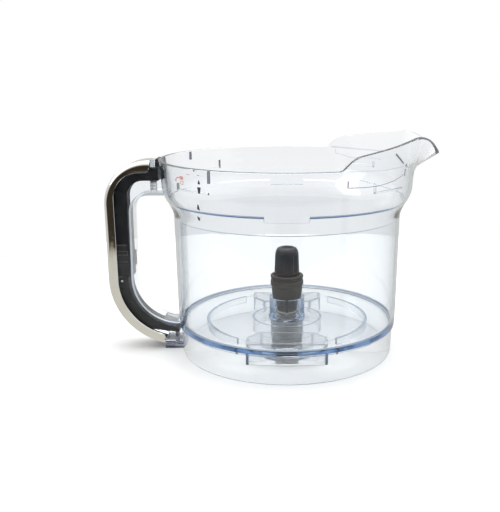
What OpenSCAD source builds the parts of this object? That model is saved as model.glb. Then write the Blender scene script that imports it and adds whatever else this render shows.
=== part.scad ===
// Work bowl of a kitchen food processor: clear bowl with a pour spout, a handle with the lid
// interlock inside it, and the drive spindle in its floor.
// Millimetres. +Z is up, +X runs to the spout, the handle is at -X.
// The origin is on the spindle's axis, in the plane that the bowl stands on.

/* [Bowl] */
// Outer radius of the wall where it meets the floor
wall_r = 95; // [93:0.5:96]
// Thickness of the bowl's wall
wall_t = 2.8; // [2.2:0.1:3]
// Height of the top of the rim
rim_z = 168; // [166:0.5:170]
// How far the wall opens out between the floor and the rim
flare = 9.2; // [8.8:0.1:9.4]
// Height of the floor's upper face
floor_z = 27.5; // [27:0.1:28]
// Thickness of the floor
floor_t = 3; // [2.5:0.1:3.2]

/* [Pour spout] */
// Angle from the middle of the spout to each of its ends
spout_half = 66; // [60:1:68]
// Height of the seam between the rim and the spout
seam_z = 157; // [156:0.5:158]
// Thickness of the spout's sheet
spout_t = 2.6; // [2:0.1:3]

/* [Handle] */
// Distance from the spindle's axis to the outside of the grip
grip_x = 155.4; // [155:0.1:156]
// Width of the metal trim, across the handle
trim_w = 28; // [27.5:0.1:30]
// Width of the clear handle shell, across the handle
shell_w = 24; // [23.6:0.1:24]
// Width of the black interlock rods
rod_w = 14; // [12:0.5:14]
// Downward travel of the interlock
travel = 3.5; // [3:0.1:3.6]

/* [Spindle] */
// Radius of the steel shaft
shaft_r = 5; // [4:0.1:5]
// Running clearance between the shaft and what it turns in
run_gap = 0.05; // [0.02:0.01:0.1]
// Number of flutes round the drive head
flutes = 6; // [5:1:10]
// Radius of the collar that tools stand on
collar_r = 14.4; // [13.5:0.1:14.5]
// Radius of the socket that the motor's drive goes into
socket_r = 5.5; // [4.5:0.1:5.5]

/* [Hidden] */
$fn = 96;
eps = 0.01;

// ---- the bowl's wall ----
floor_bottom = floor_z - floor_t;
wall_mid_r = wall_r + 1.6;      // outer radius of the wall where it starts to open out
flare_z0 = 120;                 // the wall opens out between these two heights
flare_z1 = 146;
step_z = 136;                   // height of the shallow step round the outside
step_d = 0.5;
step_tab = [32.8, 5.4];         // width and drop of the step's tab, front and back
shelf_r = wall_mid_r + flare;   // outer radius at the top of the opening-out
rim_r = shelf_r + 1.9;
skirt_r = wall_r - 2.5;         // outer radius of the skirt where it stands
skirt_t = 2.4;

// ---- the hub in the floor ----
bush_r = 9;
boss_r = 12;
boss_z = [18.5, 30];
guard_r = 15.5;                 // castellated tube that keeps food away from the shaft
guard_z = 45;
guard_slots = 6;
guard_slot = [1.8, 12];         // width and depth of each slot

// ---- under the floor ----
well_r = 30.5;
well_z = 12;
ring_r = 71.2;
ring_z = 18.5;
ring_gap = 80;                  // the ring is left out over this width, front and back
pocket_half = 32.5;
pocket_y = [43.5, 71.5];
pocket_z = 11.6;
pocket_t = 1.8;
pocket_cut = [10, 12];           // width and depth of its two cut corners
lock_angles = [129, 216, 309, 396];
lock_span = 20;

// ---- the handle, drawn in X and Z ----
top_r = 38.2;
top_c = [top_r - grip_x, 128.1];   // centre of the outer bend at the top
low_r = 60.2;
low_c = [low_r - grip_x, 63];       // centre of the outer bend at the bottom
low_end = 257;                      // angle at which that bend meets the foot
gap_top_c = [-117.6, 122];          // bends of the finger gap
gap_top_r = 15;
gap_low_r = 38.2;
lip_top_c = [-124.5, 134.3];        // inner edge of the trim's flanks
lip_top_r = 22;
lip_low_r = 51;
spine_t = 1.8;
shell_t = 2.2;
cavity_w = 19.2;                // space between the shell's two side walls
trim_end_x = -115.1;            // upper end of the trim
foot_x = -108.2;                // lower end of the trim, where the foot starts
foot_h = 6.8;
slider_x = [-149.3, -136.6];    // outer and inner face of the slider in the grip
slider_z = 64.6;
arm_z = [148.8, 160.2];         // lower and upper face of the slider's arm
rod_r = [43.6, 53];             // inner and outer radius of the curved rod
rod_foot = [-95.9, 13.4];
rod_heel = [-98.3, 17.6];
rod_pin_at = [-144.2, 61];
pin_r = 1.2;
plunger_x = -98.6;
plunger_r = 1.8;
spring_x = -114.4;
spring_r = 2.85;
wire_r = 0.35;
spring_z = [139.25, 148.7];
spring_turns = 7;
screw_y = 6.8;
screw_z = 3.6;

// ---- the spindle ----
head_r = 10.6;
head_z = [67.2, 89.6];
collar_z = [62.3, 65.3];
head_foot = collar_z[1] - 2;    // the head stands in a recess in the collar
sleeve_z = [36, 60.9];
ring_seat_r = 12.7;             // neck of the collar that the sealing ring sits on
flute_turn = 14;                // angle of the first flute
neck_r = 7.5;
shaft_z = [13.4, 84.6];
head_pin = [17, 76];            // length and height of the pin through the shaft and the head
coupling_z = [3, 17.4];

// Points along an arc of centre c and radius r, from angle a0 to a1 in n steps
function arc(c, r, a0, a1, n) =
    [for (i = [0:n]) let (a = a0 + (a1 - a0) * i / n) [c[0] + r * cos(a), c[1] + r * sin(a)]];

function reversed(p) = [for (i = [len(p) - 1:-1:0]) p[i]];

// 0 to 1 with level ends
function ease(t) = t * t * (3 - 2 * t);

// Outer radius of the bowl's wall at height z
function outer_r(z) =
    z <= flare_z0 ? wall_r + (wall_mid_r - wall_r) * pow((z - floor_bottom) / (flare_z0 - floor_bottom), 0.5)
    : z <= flare_z1 ? wall_mid_r + flare * ease((z - flare_z0) / (flare_z1 - flare_z0))
    : shelf_r + (rim_r - shelf_r) * pow((z - flare_z1) / (rim_z - flare_z1), 1.4);

function flat_list(v) = [for (a = v) for (b = a) b];
wall_z = flat_list([
    [floor_bottom, 34, 50, 80],
    [for (z = [flare_z0:2:step_z]) z],
    [for (z = [step_z + eps:2:flare_z1 - 1]) z],
    [flare_z1, 154, 161, rim_z]]);

// Outline of the outside of the wall, from the floor up, moved out by g
function outside(g) = [for (z = wall_z) [outer_r(z) + g + (z > step_z ? step_d : 0), z]];
// Outline of the inside of the wall, from the floor up
function inside() = concat(
    [[wall_r - wall_t - 1.6, floor_z], [wall_r - wall_t - 0.5, floor_z + 1],
     [outer_r(floor_z + 3) - wall_t, floor_z + 3]],
    [for (z = wall_z) if (z > floor_z + 4) [outer_r(z) - wall_t, z]]);

// Solid that fills the outside of the bowl and its skirt, for what fits against it
module envelope(g) {
    rotate_extrude($fn = 180)
        polygon(concat([[0, -1], [skirt_r + g, -1], [skirt_r + 1.1 + g, floor_bottom]],
            outside(g), [[rim_r + step_d + g, rim_z + 40], [0, rim_z + 40]]));
}

// A flat outline in X and Z, w thick across the handle
module slab(points, w) {
    rotate([90, 0, 0]) linear_extrude(w, center = true) polygon(points);
}

module tube(r_out, r_in, z0, z1) {
    translate([0, 0, z0]) difference() {
        cylinder(r = r_out, h = z1 - z0);
        translate([0, 0, -1]) cylinder(r = r_in, h = z1 - z0 + 2);
    }
}

// A rib on the inside of the rim, from angle a over span degrees and between two heights
module rim_rib(a, span, z0, z1, proud) {
    rotate([0, 0, a]) rotate_extrude(angle = span, $fn = 180)
        translate([outer_r(z0) - wall_t - proud, z0]) square([proud + 0.6, z1 - z0]);
}

module bowl() {
    color([0.85, 0.9, 0.94, 0.4]) difference() {
        union() {
            rotate_extrude($fn = 180)
                polygon(concat([[bush_r, floor_bottom]], outside(0), reversed(inside()),
                    [[bush_r, floor_z]]));
            for (side = [0, 180]) rotate([0, 0, side]) step_tab_pad();
            tube(boss_r, bush_r, boss_z[0], boss_z[1]);
            tube(guard_r, guard_r - 2.2, floor_z - eps, guard_z);
            for (a = lock_angles) rim_rib(a, lock_span, 149.2, 150.8, 1.6);
            for (a = lock_angles) rim_rib(a, 1.2, 150.8 - eps, 156, 1.6);
            for (i = [0, 1]) rim_rib(lock_angles[i] + lock_span, 1.2, 158, rim_z - 0.4, 1.6);
        }
        for (i = [0:guard_slots - 1]) rotate([0, 0, 360 / guard_slots * (i + 0.5)])
            translate([guard_r - 5, -guard_slot[0] / 2, guard_z - guard_slot[1]])
                cube([10, guard_slot[0], guard_slot[1] + 1]);
        rotate([0, 0, -spout_half]) rotate_extrude(angle = 2 * spout_half, $fn = 180)
            translate([wall_r, seam_z]) square([40, 40]);
        rotate([0, 0, -wing_half - 0.1]) rotate_extrude(angle = 2 * wing_half + 0.2, $fn = 180)
            translate([wall_r, rim_z - wing_seat]) square([40, 40]);
    }
}

// The tab that hangs from the step round the outside
module step_tab_pad() {
    intersection() {
        rotate_extrude($fn = 180)
            polygon([[outer_r(step_z - step_tab[1]) - 1, step_z - step_tab[1]],
                [outer_r(step_z - step_tab[1]) + step_d, step_z - step_tab[1]],
                [outer_r(step_z) + step_d, step_z + 0.2], [outer_r(step_z) - 1, step_z + 0.2]]);
        translate([-step_tab[0] / 2, -130, 0]) cube([step_tab[0], 60, 200]);
    }
}

module base_skirt() {
    color([0.85, 0.9, 0.94, 0.4]) rotate_extrude($fn = 180)
        polygon([[skirt_r - skirt_t, 0], [skirt_r, 0], [skirt_r + 1.1, floor_bottom],
            [skirt_r + 1.1 - skirt_t, floor_bottom]]);
}

// Outline of a lock pocket, moved in by d
function pocket(d) = let (w = pocket_half - d, y0 = pocket_y[0] + d, y1 = pocket_y[1] - d)
    let (side_y = -y0 - pocket_cut[1] + d / 2, back_x = w - pocket_cut[0])
    [[-w, -y1], [w, -y1], [w, side_y], [back_x, -y0], [-back_x, -y0], [-w, side_y]];

module lock_ring() {
    color([0.82, 0.87, 0.92, 0.4]) difference() {
        union() {
            tube(ring_r, well_r - 1.5, floor_bottom - 1.1, floor_bottom);
            tube(well_r, well_r - 1.5, well_z, floor_bottom);
            for (a = [45:90:315]) rotate([0, 0, a]) translate([well_r - 1, -3, well_z])
                cube([3, 6, 1.5]);
            difference() {
                tube(ring_r, ring_r - 2.4, ring_z, floor_bottom);
                translate([-ring_gap / 2, -100, 0]) cube([ring_gap, 200, floor_bottom - 1.1]);
            }
            for (side = [0, 180]) rotate([0, 0, side]) translate([0, 0, pocket_z])
                linear_extrude(floor_bottom - pocket_z) polygon(pocket(0));
        }
        for (side = [0, 180]) rotate([0, 0, side]) {
            translate([0, 0, -1]) linear_extrude(floor_bottom - 1) polygon(pocket(pocket_t));
            translate([-9, -pocket_y[1] - 1, 13.6]) cube([18, 4, 6.8]);
        }
    }
}

// Angle from the middle of the spout, radius and height of its lip
lip = [
    [0, 129.2, 171.8], [5, 124.6, 176.8], [10, 120.2, 182], [15, 116.5, 186.2], [20, 113, 187.5],
    [30, 109.8, 185.6], [36, 108.6, 184.1], [43, 108, 182.5], [50, 108, 181], [57, 108, 179.2],
    [61, 108, 177.8], [63.5, 108, 175.4], [66, 108, 171.6], [68.2, 108, 168.2]];
wing_half = 68.1;                // above the rim, the lip runs on past the seam's ends
wing_seat = 0.4;                 // depth of the step in the rim that it stands in
function lip_r(a) = lookup(abs(a), [for (p = lip) [p[0], p[1]]]);
function lip_z(a) = lookup(abs(a), [for (p = lip) [p[0], p[2]]]);
function foot_drop(a) = abs(a) < 30 ? 3 * (1 - ease(abs(a) / 30)) : 0;
function spout_base(a) = abs(a) < spout_half - 0.05
    ? [outer_r(seam_z) + step_d + 0.05, seam_z - foot_drop(a)] : [lip_r(a), rim_z - wing_seat + 0.02];
// Point of the sheet: s runs from the seam to the lip, side is 0 outside and 1 inside
function spout_point(a, s, side) =
    let (b = spout_base(a), t = [lip_r(a), lip_z(a)], d = (t - b) / norm(t - b),
         p = b + s * (t - b) + side * spout_t * [-d[1], d[0]])
    [p[0] * cos(a), p[0] * sin(a), p[1]];

module pour_spout() {
    cols = 66;
    rows = 3;
    seam_end = spout_half - 0.1;
    wing = [spout_half - 0.02, spout_half + 1, wing_half];
    angles = concat([for (i = [2:-1:0]) -wing[i]],
        [for (i = [0:cols]) seam_end * (2 * i / cols - 1)], wing);
    // Each column is a loop up the outside and back down the inside
    loop = 2 * (rows + 1);
    last = len(angles) - 1;
    points = [for (a = angles) for (k = [0:loop - 1])
        spout_point(a, (k <= rows ? k : loop - 1 - k) / rows, k <= rows ? 0 : 1)];
    sides = [for (i = [0:last - 1]) for (k = [0:loop - 1])
        let (n = (k + 1) % loop)
        [i * loop + k, i * loop + n, (i + 1) * loop + n, (i + 1) * loop + k]];
    ends = [[for (k = [loop - 1:-1:0]) k], [for (k = [0:loop - 1]) last * loop + k]];
    color([0.85, 0.9, 0.94, 0.4]) polyhedron(points, concat(sides, ends));
}

// Outside of the handle from the rim round to the foot, moved in by d
function handle_outside(d) = concat(
    arc(top_c, top_r - d, 89, 180, 24),
    arc(low_c, low_r - d, 180, low_end, 24));
// Edge of the finger gap from the rim round to the foot, moved into the handle by d
function handle_inside(d) = concat(
    [[-90, gap_top_c[1] + gap_top_r + d]],
    arc(gap_top_c, gap_top_r + d, 90, 180, 14),
    arc(low_c, gap_low_r + d, 180, 270, 20),
    [[-90, low_c[1] - gap_low_r - d]]);
// Inner edge of the trim's flanks, from the upper end round to the foot
function trim_inside() = concat(
    arc([trim_end_x - 4.2, 160.5], 4.2, 0, -90, 6),
    arc(lip_top_c, lip_top_r, 90, 180, 16),
    arc(low_c, lip_low_r, 180, low_end, 20));

module handle_shell() {
    color([0.85, 0.9, 0.94, 0.4]) difference() {
        slab(concat([[-90, 166]], handle_outside(spine_t + 0.2), [[-90, 0.4]],
            reversed(handle_inside(0))), shell_w);
        slab(concat([[-80, 175]], handle_outside(-4), [[-80, -4]],
            reversed(handle_inside(shell_t))), cavity_w);
        translate([foot_x, -20, -5]) cube([60, 40, foot_h + 5.1]);
        envelope(0);
    }
    color([0.75, 0.84, 0.92, 0.5]) shell_bridge();
    color([0.85, 0.9, 0.94, 0.4]) translate([spring_x, 0, gap_top_c[1] + gap_top_r + 0.4])
        cylinder(r = 2.2, h = 3.6, $fn = 32);
}

// Solid bridge over the slider's arm at the rim, which closes the shell
module shell_bridge() {
    translate([trim_end_x + 0.3, -cavity_w / 2 - eps, arm_z[1] + 0.6])
        cube([4, cavity_w + 2 * eps, 5.4]);
}

module handle_trim() {
    color([0.86, 0.84, 0.8]) difference() {
        slab(concat([[trim_end_x, top_c[1] + top_r]], [for (p = handle_outside(0))
            if (p[0] < trim_end_x || p[1] < 80) p], reversed(trim_inside())), trim_w);
        slab(concat([[-90, top_c[1] + top_r - spine_t]], handle_outside(spine_t), [[-90, 20],
            [-90, 40]]), shell_w + 0.4);
    }
}

module handle_foot() {
    color([0.7, 0.74, 0.78, 0.6]) difference() {
        translate([foot_x + 0.2, -shell_w / 2, 0]) cube([30, shell_w, foot_h]);
        envelope(0);
        for (side = [-1, 1]) translate([0, side * screw_y, screw_z]) rotate([0, 90, 0]) {
            translate([0, 0, foot_x - 1]) cylinder(r = 1.55, h = 12, $fn = 32);
            translate([0, 0, foot_x + 8.6]) cylinder(r = 2.7, h = 30, $fn = 32);
        }
        translate([plunger_x, 0, -1]) cylinder(r = plunger_r + 0.1, h = foot_h + 2, $fn = 32);
    }
}

module foot_screws() {
    color([0.6, 0.6, 0.62]) for (side = [-1, 1])
        translate([0, side * screw_y, screw_z]) rotate([0, 90, 0]) {
            translate([0, 0, foot_x + 0.6]) cylinder(r = 1.5, h = 8.1, $fn = 32);
            difference() {
                translate([0, 0, foot_x + 8.6]) cylinder(r = 2.6, h = 2.2, $fn = 32);
                translate([-0.4, -1.8, foot_x + 10]) cube([0.8, 3.6, 2]);
                translate([-1.8, -0.4, foot_x + 10]) cube([3.6, 0.8, 2]);
            }
        }
}

module lid_tab_slot() {
    color([0.12, 0.12, 0.14]) difference() {
        translate([-110.6, -cavity_w / 2 + 0.1, arm_z[1] + 0.7]) cube([20, cavity_w - 0.2, 6.5]);
        translate([-109.2, -6, 150]) cube([30, 12, 30]);
        envelope(0);
    }
}

module slider_guide() {
    color([0.13, 0.13, 0.14]) difference() {
        union() {
            translate([-149.4, -cavity_w / 2 + 0.1, 72.4]) cube([13.7, cavity_w - 0.2, 12.8]);
            translate([-149.4, -cavity_w / 2 + 0.3, 85.2]) cube([11.2, cavity_w - 0.6, 8.6]);
        }
        translate([-160, -rod_w / 2 - 0.4, 60]) cube([23.6, rod_w + 0.8, 40]);
        // Grooves, as a height and a width
        for (groove = [[77.8, 1.2], [86, 3.2], [91.6, 1.2]]) for (side = [-1, 1])
            translate([-148.6, side * (cavity_w / 2) - 0.6, groove[0]]) cube([9.4, 1.2, groove[1]]);
    }
}

module rod_stop() {
    stop_x = [-109.6, -97.7];
    color([0.35, 0.36, 0.4, 0.8]) intersection() {
        slab(concat(arc(low_c, gap_low_r + shell_t + 0.05, 230, 275, 16),
            reversed(arc(low_c, rod_r[0] - 0.4, 225, 275, 16))), cavity_w - 0.2);
        translate([stop_x[0], -20, 0]) cube([stop_x[1] - stop_x[0], 40, 60]);
    }
}

module interlock_slider() {
    bend_r = 14.2;
    bend_c = [slider_x[1] + bend_r, arm_z[0] - bend_r];
    color([0.1, 0.1, 0.11]) {
        slab(concat([[-108.9, arm_z[1]], [top_c[0], arm_z[1]]],
            arc(top_c, arm_z[1] - top_c[1], 90, 180, 20),
            [[slider_x[0], slider_z], [slider_x[1], slider_z]],
            arc(bend_c, bend_r, 180, 90, 10),
            [[-108.9, arm_z[0]]]), rod_w);
        translate([spring_x, 0, arm_z[0] - 2]) cylinder(r = 2.2, h = 2 + eps, $fn = 32);
    }
}

module interlock_spring() {
    pitch = (spring_z[1] - spring_z[0] - 2 * wire_r) / (spring_turns - 1);
    color([0.7, 0.7, 0.72]) for (i = [0:spring_turns - 1])
        translate([spring_x, 0, spring_z[0] + wire_r + i * pitch])
            rotate_extrude($fn = 40) translate([spring_r, 0]) circle(r = wire_r, $fn = 16);
}

module interlock_rod() {
    rod_top = slider_z - 0.4;
    color([0.11, 0.11, 0.12]) difference() {
        slab(concat(
            [[low_c[0] - rod_r[0] - 1.2, rod_top], [low_c[0] - rod_r[1] + 2.4, rod_top]],
            arc(low_c, rod_r[1], 181.5, 242, 24),
            [[rod_foot[0], rod_foot[1]], [rod_foot[0], rod_heel[1] - 1], rod_heel],
            reversed(arc(low_c, rod_r[0], 180, 250, 24))), rod_w);
        translate([rod_pin_at[0], 0, rod_pin_at[1]]) rotate([90, 0, 0])
            cylinder(r = pin_r, h = 40, center = true, $fn = 32);
        envelope(0.6);
    }
}

module rod_pin() {
    color([0.8, 0.8, 0.82]) translate([rod_pin_at[0], 0, rod_pin_at[1]]) rotate([90, 0, 0])
        cylinder(r = pin_r, h = rod_w + 3, center = true, $fn = 32);
}

module switch_plunger() {
    color([0.55, 0.56, 0.58]) translate([plunger_x, 0, travel + 0.6])
        cylinder(r = plunger_r, h = rod_foot[1] - travel - 0.6, $fn = 32);
}

module shaft_bush() {
    color([0.62, 0.5, 0.32]) {
        tube(bush_r, shaft_r + run_gap, boss_z[0] + 0.4, boss_z[1]);
        tube(bush_r + 1.4, shaft_r + run_gap, boss_z[1], boss_z[1] + 1.2);
    }
}

// Rubber V-ring on the sleeve's neck, whose lip wipes the bush's flange
module shaft_seal() {
    z0 = boss_z[1] + 2.1;
    color([0.12, 0.12, 0.13]) rotate_extrude()
        polygon([[neck_r, z0], [9.8, z0], [8.9, z0 + 1], [9.6, z0 + 1.6], [9.6, z0 + 3],
            [neck_r, z0 + 3]]);
}

module coupling_shroud() {
    color([0.75, 0.77, 0.8, 0.7]) {
        tube(14.3, 12.9, 2, 23.4);
        tube(14.3, boss_r + 0.02, 20, 23.4);
    }
}

module drive_shaft() {
    color([0.75, 0.75, 0.77]) difference() {
        translate([0, 0, shaft_z[0]]) cylinder(r = shaft_r, h = shaft_z[1] - shaft_z[0]);
        tube(shaft_r + 1, shaft_r - 0.7, 17.7, 18.5);
        head_pin_hole();
    }
}

module drive_coupling() {
    socket_top = shaft_z[0] - 1.4;
    color([0.16, 0.15, 0.15]) difference() {
        translate([0, 0, coupling_z[0]]) cylinder(r = 9, h = coupling_z[1] - coupling_z[0]);
        translate([0, 0, coupling_z[0] - 1]) cylinder(r = socket_r, h = socket_top - coupling_z[0] + 1);
        translate([0, 0, shaft_z[0]]) cylinder(r = shaft_r, h = 20);
        for (a = [0, 90]) rotate([0, 0, a]) translate([-10, -1, coupling_z[0] - 1])
            cube([20, 2, 3.4]);
    }
}

module drive_pin() {
    color([0.6, 0.6, 0.62]) translate([0, 0, head_pin[1]]) rotate([90, 0, 0])
        cylinder(r = 1.25, h = head_pin[0], center = true, $fn = 32);
}

module head_pin_hole() {
    translate([0, 0, head_pin[1]]) rotate([90, 0, 0])
        cylinder(r = 1.25, h = head_pin[0] + 0.1, center = true, $fn = 32);
}

module retaining_clip() {
    color([0.3, 0.3, 0.32]) difference() {
        tube(shaft_r + 2, shaft_r - 0.6, 17.75, 18.45);
        translate([0, -2.4, 17]) cube([10, 4.8, 3]);
    }
}

module thrust_washer() {
    color([0.9, 0.9, 0.88]) tube(bush_r + 1, shaft_r, boss_z[1] + 1.3, boss_z[1] + 2);
}

module spindle_sleeve() {
    z0 = boss_z[1] + 2;
    color([0.27, 0.24, 0.21]) rotate_extrude()
        polygon([[shaft_r, z0], [neck_r, z0], [neck_r, sleeve_z[0]], [10.6, sleeve_z[0]],
            [11, 39.4], [12.2, 43.5], [13.1, 48], [13.5, 51], [13.7, 54.7], [13.3, 55],
            [13.3, 55.6], [14.3, 56], [14.5, 56.6], [14.5, 60], [13.9, sleeve_z[1]],
            [shaft_r, sleeve_z[1]]]);
}

module sleeve_o_ring() {
    color([0.08, 0.08, 0.09]) difference() {
        translate([0, 0, (sleeve_z[1] + collar_z[0]) / 2]) rotate_extrude()
            translate([ring_seat_r + 0.5, 0]) circle(r = 0.65, $fn = 24);
        translate([0, 0, sleeve_z[1]]) cylinder(r = ring_seat_r, h = 2);
    }
}

module tool_collar() {
    color([0.12, 0.11, 0.11]) rotate_extrude()
        polygon([[shaft_r, sleeve_z[1]], [ring_seat_r, sleeve_z[1]], [ring_seat_r, collar_z[0]],
            [collar_r - 0.4, collar_z[0]], [collar_r, collar_z[0] + 0.4],
            [collar_r, collar_z[1] - 0.6], [collar_r - 0.8, collar_z[1]],
            [11.8, collar_z[1]], [11.2, collar_z[1] - 0.5], [11.2, head_foot],
            [shaft_r, head_foot]]);
}

module drive_head() {
    color([0.09, 0.09, 0.1]) difference() {
        rotate_extrude()
            polygon([[0, shaft_z[1]], [shaft_r, shaft_z[1]], [shaft_r, head_foot], [9.2, head_foot],
                [9.2, head_z[0] - 0.8], [head_r + 0.3, head_z[0]], [head_r - 0.3, head_z[1] - 6],
                [head_r - 0.6, head_z[1] - 4.2], [9.4, head_z[1] - 2.4], [8.3, head_z[1] - 0.7],
                [6.9, head_z[1]], [5.6, head_z[1] - 0.3], [4.6, head_z[1] - 1.6],
                [0, head_z[1] - 1.8]]);
        for (i = [0:flutes - 1]) rotate([0, 0, 360 / flutes * i + flute_turn])
            translate([head_r + 2, 0, head_z[0] + 0.8]) {
                cylinder(r = 3.2, h = 14.6, $fn = 32);
                translate([0, 0, 14.6]) sphere(r = 3.2, $fn = 32);
            }
        head_pin_hole();
    }
}

bowl();
base_skirt();
lock_ring();
pour_spout();
handle_shell();
handle_trim();
handle_foot();
foot_screws();
lid_tab_slot();
slider_guide();
rod_stop();
interlock_slider();
interlock_spring();
interlock_rod();
rod_pin();
switch_plunger();
shaft_bush();
shaft_seal();
coupling_shroud();
drive_shaft();
drive_coupling();
drive_pin();
retaining_clip();
thrust_washer();
spindle_sleeve();
sleeve_o_ring();
tool_collar();
drive_head();
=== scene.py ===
"""Looks for a clear food processor work bowl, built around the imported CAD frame. Metres, +Z up."""
import math

import bmesh
import bpy
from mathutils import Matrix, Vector


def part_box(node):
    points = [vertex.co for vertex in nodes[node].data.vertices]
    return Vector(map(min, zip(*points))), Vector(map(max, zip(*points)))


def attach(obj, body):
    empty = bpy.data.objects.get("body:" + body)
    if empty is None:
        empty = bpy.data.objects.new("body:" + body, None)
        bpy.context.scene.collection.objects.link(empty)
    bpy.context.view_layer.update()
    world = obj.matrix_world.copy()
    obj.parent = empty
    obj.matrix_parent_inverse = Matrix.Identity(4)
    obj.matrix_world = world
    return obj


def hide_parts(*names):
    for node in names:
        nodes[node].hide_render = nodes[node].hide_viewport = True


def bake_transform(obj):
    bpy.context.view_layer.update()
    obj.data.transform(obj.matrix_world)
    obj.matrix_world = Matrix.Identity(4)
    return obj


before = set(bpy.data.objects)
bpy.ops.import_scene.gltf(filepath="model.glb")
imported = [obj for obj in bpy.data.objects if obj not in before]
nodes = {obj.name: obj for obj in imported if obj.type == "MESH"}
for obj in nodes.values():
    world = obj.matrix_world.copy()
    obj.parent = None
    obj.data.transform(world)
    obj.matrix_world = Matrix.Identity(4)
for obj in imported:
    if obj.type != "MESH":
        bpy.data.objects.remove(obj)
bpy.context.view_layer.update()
MM = 0.001

# ---------------------------------------------------------------- sizes, in millimetres


def node_box(name):
    """Lowest and highest corner of a CAD node, in millimetres."""
    low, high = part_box(name)
    return low / MM, high / MM


skirt_high = node_box("base_skirt")[1]
bowl_high = node_box("bowl")[1]
ring_low, ring_high = node_box("lock_ring")
trim_low, trim_high = node_box("handle_trim")
spring_low, spring_high = node_box("interlock_spring")
guide_low, guide_high = node_box("slider_guide")

FLOOR_BOTTOM = skirt_high.z
FLOOR_TOP = FLOOR_BOTTOM + 3
RIM_Z = bowl_high.z
WALL_R = skirt_high.x + 1.4     # outer radius where the wall meets the floor
WALL_T = 2.8
WALL_MID_R = WALL_R + 1.6       # outer radius where the flare begins
FLARE = 9.2                     # how far the flare widens the wall, between two heights
FLARE_Z = (120, 146)
SHELF_R = WALL_MID_R + FLARE
RIM_R = SHELF_R + 1.9
STEP_Z = 135.1                  # height of the step round the outside, and how far it stands out
STEP_D = 0.4
TAB_DROP = 4.5                  # how much lower the step runs under a tab
TAB_HALF_WIDTH = 16.4
SKIRT_R = skirt_high.x - 1.1
SKIRT_T = 2.4
SEAM_Z = 157                    # height where the spout's sheet leaves the wall
SPOUT_T = 2.6
WING_HALF = 68.1                # half the angle of the lip
GUARD_R, GUARD_T, GUARD_Z = 15.5, 2.2, 45
BOSS_R, BOSS_Z = 12, (18.5, 30)
BUSH_R = 9
GUARD_SLOT = (1.8, 12)          # width and depth of the slots in the guard's top
WELL_R, WELL_T, WELL_Z = 30.5, 1.5, 12
RING_R, RING_T, RING_Z = 71.2, 2.4, 18.5
RING_GAP = 80                   # width of the ring's openings at the pockets
POCKET_Z, POCKET_T = ring_low.z, 1.8
POCKET_HALF, POCKET_Y = 32.5, 43.5
POCKET_CUT = (10, 12)           # the slanting corners' size along X and Y
WINDOW_HALF, WINDOW_Z = 9, (2, 8.8)
LOCK_ANGLES = (129, 216, 309, 396)
LOCK_SPAN = 20
RAMP_Z, RAMP_T = (149.2, 150.8), 1.5

# ---------------------------------------------------------------- mesh helpers


def make_object(name, verts, faces, sharp=35):
    """A mesh object from points in millimetres, smooth but for edges sharper than an angle in degrees."""
    mesh = bpy.data.meshes.new(name)
    mesh.from_pydata([Vector(v) * MM for v in verts], [], faces)
    mesh.validate()
    obj = bpy.data.objects.new(name, mesh)
    bpy.context.scene.collection.objects.link(obj)
    finish_mesh(mesh, sharp)
    return obj


def finish_mesh(mesh, sharp):
    """Makes the faces point outwards and smooth."""
    bm = bmesh.new()
    bm.from_mesh(mesh)
    bmesh.ops.remove_doubles(bm, verts=bm.verts, dist=1e-7)
    bmesh.ops.recalc_face_normals(bm, faces=bm.faces)
    bm.to_mesh(mesh)
    bm.free()
    mesh.polygons.foreach_set("use_smooth", [True] * len(mesh.polygons))
    mesh.set_sharp_from_angle(angle=math.radians(sharp))


def grid_faces(columns, loop, wrap=False, base=0):
    """Quads between neighbouring columns of points, each a closed loop. base is the first point's number.
    wrap joins the last column to the first, and without it both ends are capped."""
    faces = []
    for i in range(columns if wrap else columns - 1):
        a, b = base + i * loop, base + (i + 1) % columns * loop
        for k in range(loop):
            n = (k + 1) % loop
            faces.append((a + k, a + n, b + n, b + k))
    if not wrap:
        end = base + (columns - 1) * loop
        faces += [tuple(range(base, base + loop)), tuple(range(end, end + loop))]
    return faces


def turned(r, z, angle):
    """A point at radius r and height z, at an angle in degrees about the spindle."""
    a = math.radians(angle)
    return (r * math.cos(a), r * math.sin(a), z)


def revolve(name, profile, angles, sharp):
    """A solid of revolution whose closed outline, profile(angle), may change with the angle."""
    rows = [profile(a) for a in angles]
    verts = [turned(r, z, a) for a, row in zip(angles, rows) for r, z in row]
    return make_object(name, verts, grid_faces(len(angles), len(rows[0]), True), sharp)


def arc(cx, cy, r, start, end, steps):
    """Points along an arc between two angles in degrees."""
    points = []
    for i in range(steps + 1):
        a = math.radians(start + (end - start) * i / steps)
        points.append((cx + r * math.cos(a), cy + r * math.sin(a)))
    return points


def rounded(corners, radius, steps=3):
    """A closed outline with each corner rounded. corners holds (x, y) or (x, y, its own radius)."""
    points = []
    count = len(corners)
    for i, corner in enumerate(corners):
        here = Vector(corner[:2])
        r = corner[2] if len(corner) > 2 else radius
        before = Vector(corners[i - 1][:2]) - here
        after = Vector(corners[(i + 1) % count][:2]) - here
        if r <= 0 or before.length < 1e-6 or after.length < 1e-6:
            points.append(tuple(here))
            continue
        bend = before.angle(after)
        reach = min(r / math.tan(bend / 2), 0.49 * before.length, 0.49 * after.length)
        p, q = here + before.normalized() * reach, here + after.normalized() * reach
        for k in range(steps + 1):
            t = k / steps
            points.append(tuple(p * (1 - t) ** 2 + here * 2 * t * (1 - t) + q * t * t))
    return points


def paint(obj, mat, chosen):
    """Gives one more material to the faces that chosen(radius, height, angle, face) picks.
    Lengths are in millimetres and the angle is in degrees."""
    obj.data.materials.append(mat)
    index = len(obj.data.materials) - 1
    for face in obj.data.polygons:
        x, y, z = (v / MM for v in face.center)
        if chosen(math.hypot(x, y), z, math.degrees(math.atan2(y, x)), face):
            face.material_index = index


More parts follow.
